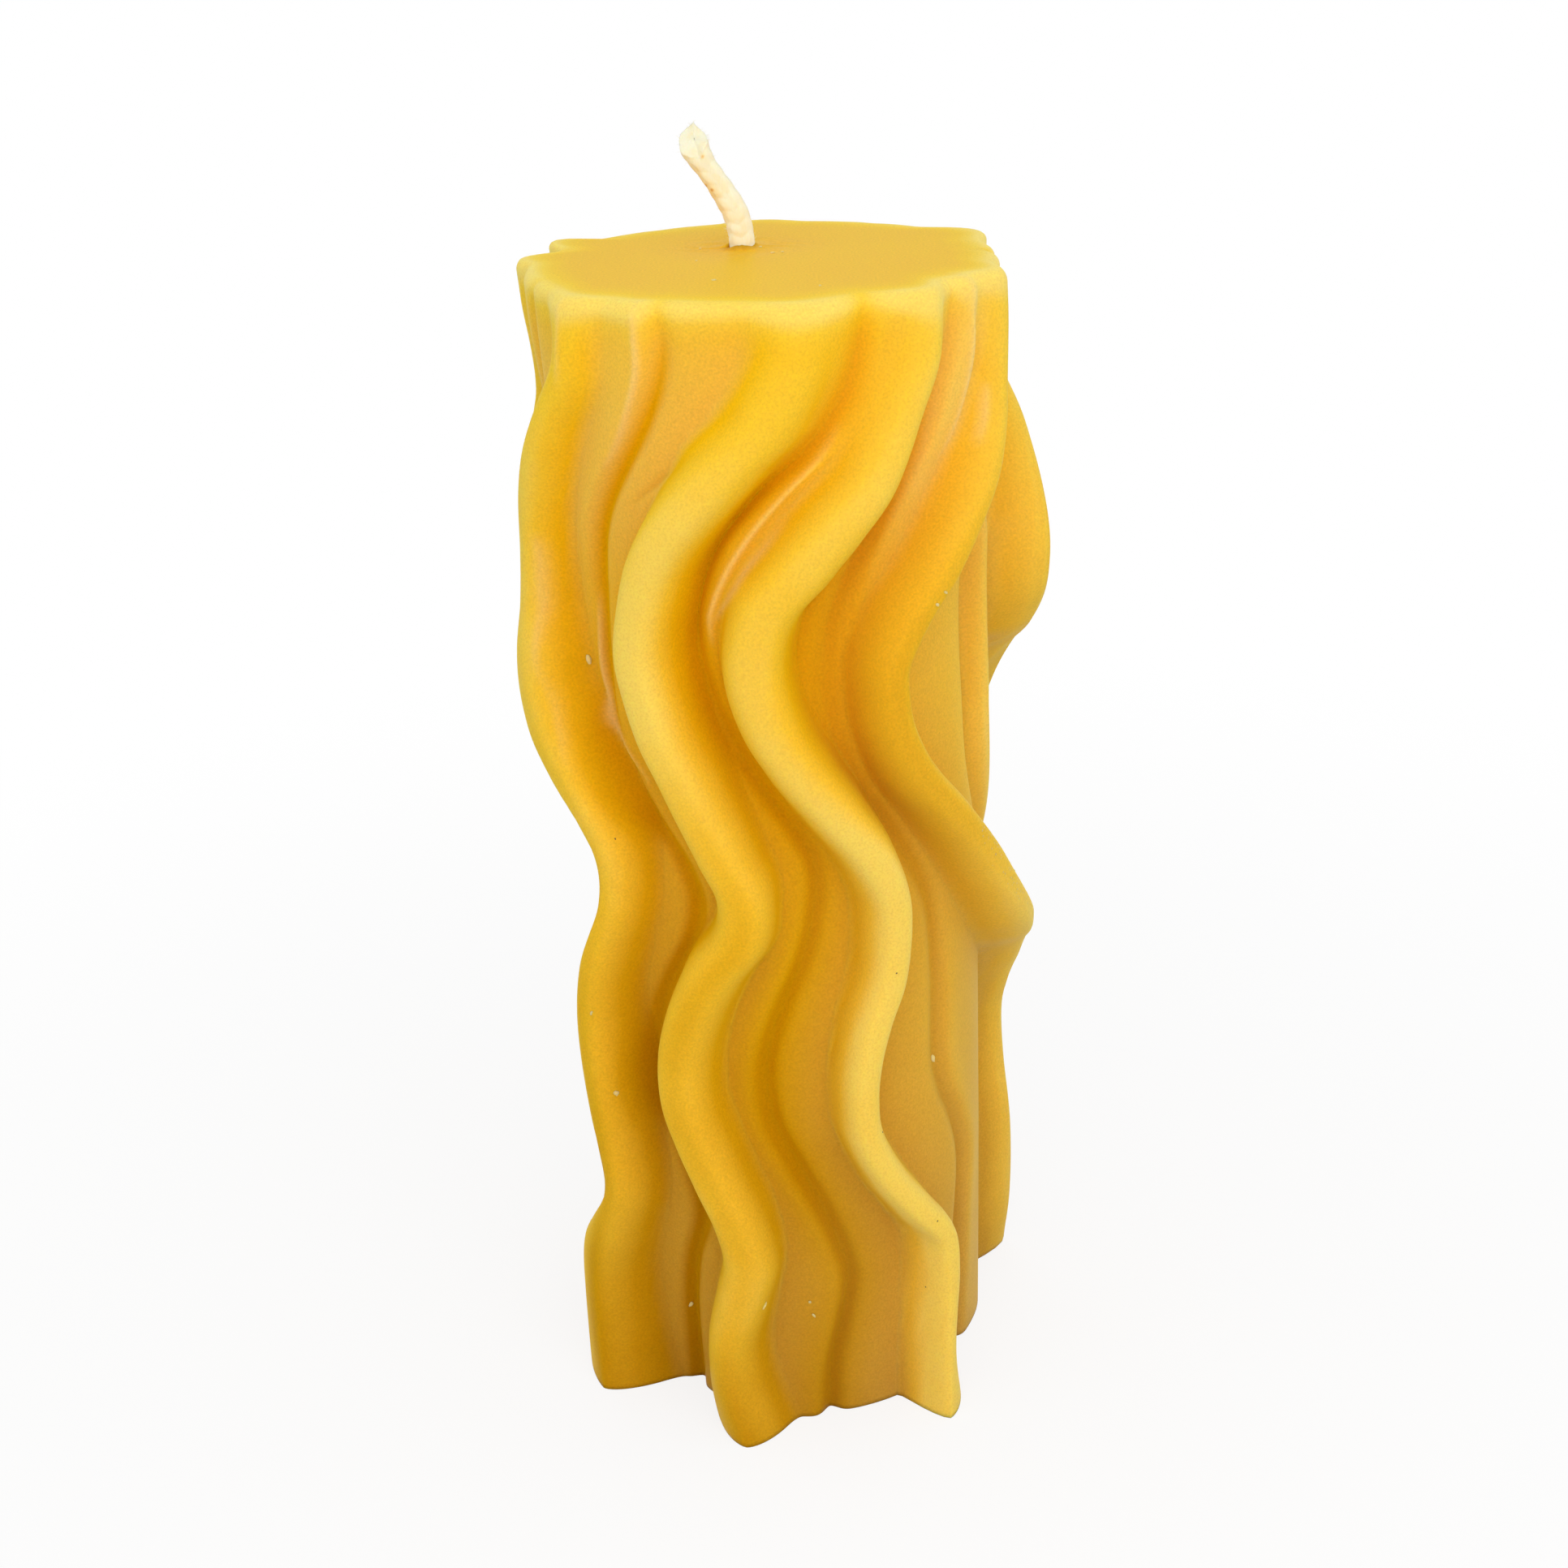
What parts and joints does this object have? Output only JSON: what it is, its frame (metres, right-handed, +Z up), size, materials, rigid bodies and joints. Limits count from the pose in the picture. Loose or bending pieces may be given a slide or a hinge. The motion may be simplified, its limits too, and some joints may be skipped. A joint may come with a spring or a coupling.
{
  "type": "pillar candle",
  "caption": "Free-standing beeswax pillar candle with wavy draped fins down its sides and a braided cotton wick cast through the wax.",
  "frame": {"origin": "middle of the flat base, on the axis that the fins turn about", "axes": "+Z up along the candle from its base to its wick, -Y towards the pictured front, +X to the right of that front"},
  "size_m": [0.0671, 0.0676, 0.1645],
  "materials": {
    "beeswax": "satin unpolished beeswax, slightly see-through at the thin crests",
    "cotton": "matt waxed cotton braid"
  },
  "bodies": {
    "root": {"wax_body": "beeswax", "wick": "cotton"}
  },
  "joints": []
}
